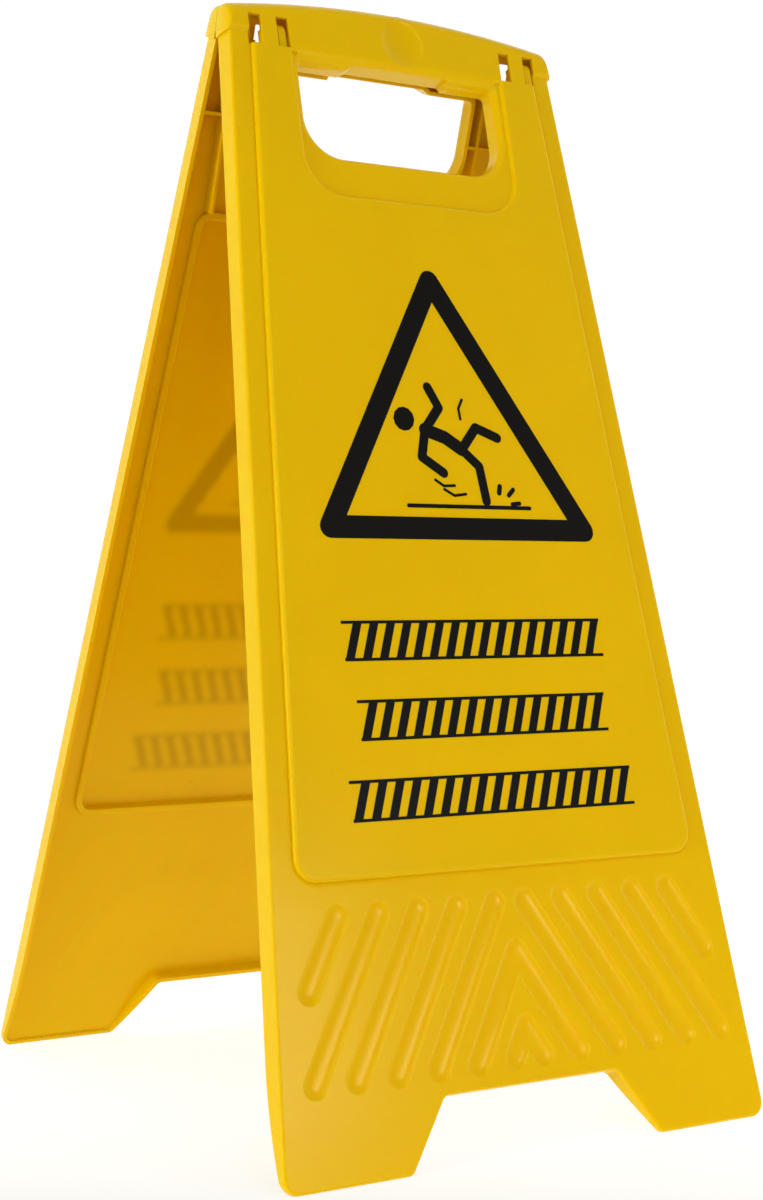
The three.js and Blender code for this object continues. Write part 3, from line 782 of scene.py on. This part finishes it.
def printed_black():
    """Screen-printed ink: near black, with a faint screen texture."""
    material, tree, shader = nodes_of("printed_black")
    specks = mapped(tree, noise(tree, 300, 3), 0, 1)
    colour = mixed(tree, specks.outputs["Result"], *[linear(*shade) for shade in BLACKS])
    tree.links.new(colour.outputs["Result"], shader.inputs["Base Color"])
    gloss = mapped(tree, noise(tree, 120, 3), 0.36, 0.5)
    tree.links.new(gloss.outputs["Result"], shader.inputs["Roughness"])
    screen = bump(tree, noise(tree, 2500, 1), 0.15, 0.02 * MM)
    tree.links.new(screen.outputs["Normal"], shader.inputs["Normal"])
    shader.inputs["Specular IOR Level"].default_value = BLACK_SHEEN
    return material


YELLOW = moulded_yellow()
BLACK = printed_black()

# ---------------------------------------------------------------- the pieces

STAND = Matrix.Translation((0, 0, HINGE_HEIGHT)) @ Matrix.Rotation(math.pi / 2 - LEAN, 4, "X") \
    @ Matrix.Scale(MM, 4) @ Matrix.Translation((0, -AXIS_Y, -AXIS_Z))
SIDES = {"front": STAND, "rear": Matrix.Rotation(math.pi, 4, "Z") @ STAND}


def dress(piece, name, side, material):
    """Names a piece, shades it, and lets it ride on its side of the sign."""
    piece.name = name
    piece.data.name = name
    piece.data.materials.clear()
    piece.data.materials.append(material)
    piece.data.shade_smooth()
    piece.data.set_sharp_from_angle(angle=SHARP_ANGLE)
    weighted = piece.modifiers.new("weighted", "WEIGHTED_NORMAL")
    weighted.keep_sharp = True
    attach(piece, f"{side}_side")
    return piece


def placed(drawn, name, side):
    """A copy of a piece drawn in the panel's frame, stood up on one side of the sign."""
    mesh = drawn.data.copy()
    mesh.transform(SIDES[side])
    return dress(linked(name, mesh), name, side, YELLOW)


def film(node, side):
    """A printed film, from its CAD node, laid down on the face."""
    mesh = frame["nodes"][node].data.copy()
    mesh.transform(SIDES[side].inverted())
    for vertex in mesh.vertices:
        share = (vertex.co.z - FACE - INK_GAP) / INK_THICKNESS
        vertex.co.z = FACE + INK_PROUD * (2 * share - 1)
    mesh.transform(SIDES[side])
    name = node.replace("_print", "_film")
    made = dress(linked(name, mesh), name, side, BLACK)
    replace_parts(made, node)


def show_through(drawn):
    """Paints the print's shadow on the floor of the pocket: where the print on the face shades light let
    through the wall, the grid is marked, faintly and softly, for darker yellow.
    """
    rows, columns = GRID["rows"], GRID["columns"]
    places = pocket_grid()
    inked = np.zeros((rows, columns))
    for node, source in frame["nodes"].items():
        if not (node.startswith("front") and node.endswith("_print")):
            continue
        flat = source.data.copy()
        flat.transform(SIDES["front"].inverted())
        tree = BVHTree.FromPolygons([v.co for v in flat.vertices], [p.vertices for p in flat.polygons])
        for row in range(rows):
            for column in range(columns):
                if tree.ray_cast(Vector(places[row, column]), Vector((0, 0, 1)), 10)[0]:
                    inked[row, column] = 1
        bpy.data.meshes.remove(flat)
    # Softens the edges of the painted shadow.
    for axis in (0, 1, 0, 1):
        inked = (np.roll(inked, 1, axis) + inked * 2 + np.roll(inked, -1, axis)) / 4
    mesh = drawn.data
    spots = np.empty(len(mesh.vertices) * 3)
    mesh.vertices.foreach_get("co", spots)
    x, y, z = spots.reshape(-1, 3).T
    low, high = places[0, 0, 1], places[-1, 0, 1]
    row = np.clip(np.rint((y - low) / (high - low) * (rows - 1)), 0, rows - 1).astype(int)
    share = x / (side_at(y) - BORDER - GRID["margin"])
    column = np.clip(np.rint((share + 1) / 2 * (columns - 1)), 0, columns - 1).astype(int)
    on_grid = (np.abs(z - GRID["level"]) < 0.01) & (y > low - 1) & (y < high + 1)
    value = np.where(on_grid, inked[row, column], 0)
    mesh.attributes.new(PAINTED_PRINT_SHADOW, "FLOAT", "POINT").data.foreach_set("value", value)


def marks(side):
    """The short strokes of movement round the figure, and the drops at its foot."""
    vertices, faces = [], []
    for width, places in MARKS:
        for a, b in zip(places, places[1:]):
            ring = capsule(a, b, width / 2, 8)
            first, size = len(vertices), len(ring)
            for level in (FACE - INK_PROUD, FACE + INK_PROUD):
                vertices += [(x, y, level) for x, y in ring]
            faces.append([first + size + i for i in range(size)])
            for i in range(size):
                after = (i + 1) % size
                faces.append([first + i, first + after, first + size + after, first + size + i])
    mesh = bpy.data.meshes.new("marks")
    mesh.from_pydata(vertices, [], faces)
    mesh.transform(SIDES[side])
    dress(linked("marks", mesh), f"{side}_motion_film", side, BLACK)


panel = shell()
# Painted shadow of the print, on the pocket floor.
show_through(panel)
hinge_parts = {
    "hook_left": hook(-STATIONS[0]),
    "hook_right": hook(STATIONS[1]),
    "pin_left": pin(-STATIONS[1]),
    "pin_right": pin(STATIONS[0]),
}
for side in SIDES:
    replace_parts(placed(panel, f"{side}_shell", side), f"{side}_panel")
    for name, drawn in hinge_parts.items():
        placed(drawn, f"{side}_{name}", side)
    for node in frame["nodes"]:
        if node.startswith(side) and node.endswith("_print"):
            film(node, side)
    marks(side)
for drawn in (panel, *hinge_parts.values()):
    bpy.data.objects.remove(drawn)

# ---------------------------------------------------------------- floor, light and camera

def floor():
    """A wide pale floor, a table of matt white acrylic lit softly from below."""
    reach = FLOOR_REACH
    corners = [(-reach, -reach, 0), (reach, -reach, 0), (reach, reach, 0), (-reach, reach, 0)]
    mesh = bpy.data.meshes.new("floor")
    mesh.from_pydata(corners, [], [(0, 1, 2, 3)])
    made = linked("floor", mesh)
    material, tree, shader = nodes_of("acrylic")
    clouds = mapped(tree, noise(tree, 3, 2), 0, 1)
    shade = mixed(tree, clouds.outputs["Result"], *[(grey, grey, grey) for grey in FLOOR_GREYS])
    tree.links.new(shade.outputs["Result"], shader.inputs["Base Color"])
    shader.inputs["Roughness"].default_value = 0.9
    shader.inputs["Specular IOR Level"].default_value = 0
    shader.inputs["Emission Color"].default_value = (1, 1, 1, 1)
    fade(tree, FLOOR_GLOW, shader.inputs["Emission Strength"])
    mesh.materials.append(material)


def camera():
    yaw, pitch, roll = CAMERA["yaw"], CAMERA["pitch"], CAMERA["roll"]
    right = Vector((math.cos(yaw), -math.sin(yaw), 0))
    forward = Vector((math.sin(yaw) * math.cos(pitch), math.cos(yaw) * math.cos(pitch), math.sin(pitch)))
    up = right.cross(forward)
    across = math.cos(roll) * right + math.sin(roll) * up
    upward = math.cos(roll) * up - math.sin(roll) * right
    data = bpy.data.cameras.new("camera")
    data.sensor_width = 36
    data.lens = CAMERA["lens"]
    data.shift_x, data.shift_y = CAMERA["shift"]
    made = linked("camera", data)
    turn = Matrix((across, upward, -forward)).transposed()
    made.matrix_world = Matrix.Translation(CAMERA["place"]) @ turn.to_4x4()
    bpy.context.scene.camera = made


def fade(tree, change, socket):
    """Strength that changes smoothly along the way that the camera heads."""
    place = tree.nodes.new("ShaderNodeTexCoord")
    towards = tree.nodes.new("ShaderNodeVectorMath")
    towards.operation = "DOT_PRODUCT"
    towards.inputs[1].default_value = (math.sin(CAMERA["yaw"]), math.cos(CAMERA["yaw"]), 0)
    tree.links.new(place.outputs["Object"], towards.inputs[0])
    level = tree.nodes.new("ShaderNodeMapRange")
    level.interpolation_type = "SMOOTHSTEP"
    names = ("From Min", "From Max", "To Min", "To Max")
    for name, value in zip(names, change["reach"] + change["strength"]):
        level.inputs[name].default_value = value
    tree.links.new(towards.outputs["Value"], level.inputs["Value"])
    tree.links.new(level.outputs["Result"], socket)


def area_light(name, place, target, size, power, colour):
    data = bpy.data.lights.new(name, "AREA")
    data.shape = "RECTANGLE"
    data.size, data.size_y = size
    data.energy = power
    data.color = colour
    made = linked(name, data)
    made.location = place
    made.rotation_mode = "QUATERNION"
    made.rotation_quaternion = (Vector(target) - Vector(place)).to_track_quat("-Z", "Y")


def lights():
    """Soft lights from the left and low in front, and a backdrop that is brightest far off."""
    for name, settings in LIGHTS.items():
        area_light(name, *settings)
    world = bpy.data.worlds.new("studio")
    world.use_nodes = True
    tree = world.node_tree
    background = tree.nodes["Background"]
    background.inputs["Color"].default_value = (1, 1, 1, 1)
    fade(tree, BACKDROP, background.inputs["Strength"])
    bpy.context.scene.world = world


floor()
camera()
lights()
bpy.context.scene.view_settings.view_transform = "Standard"
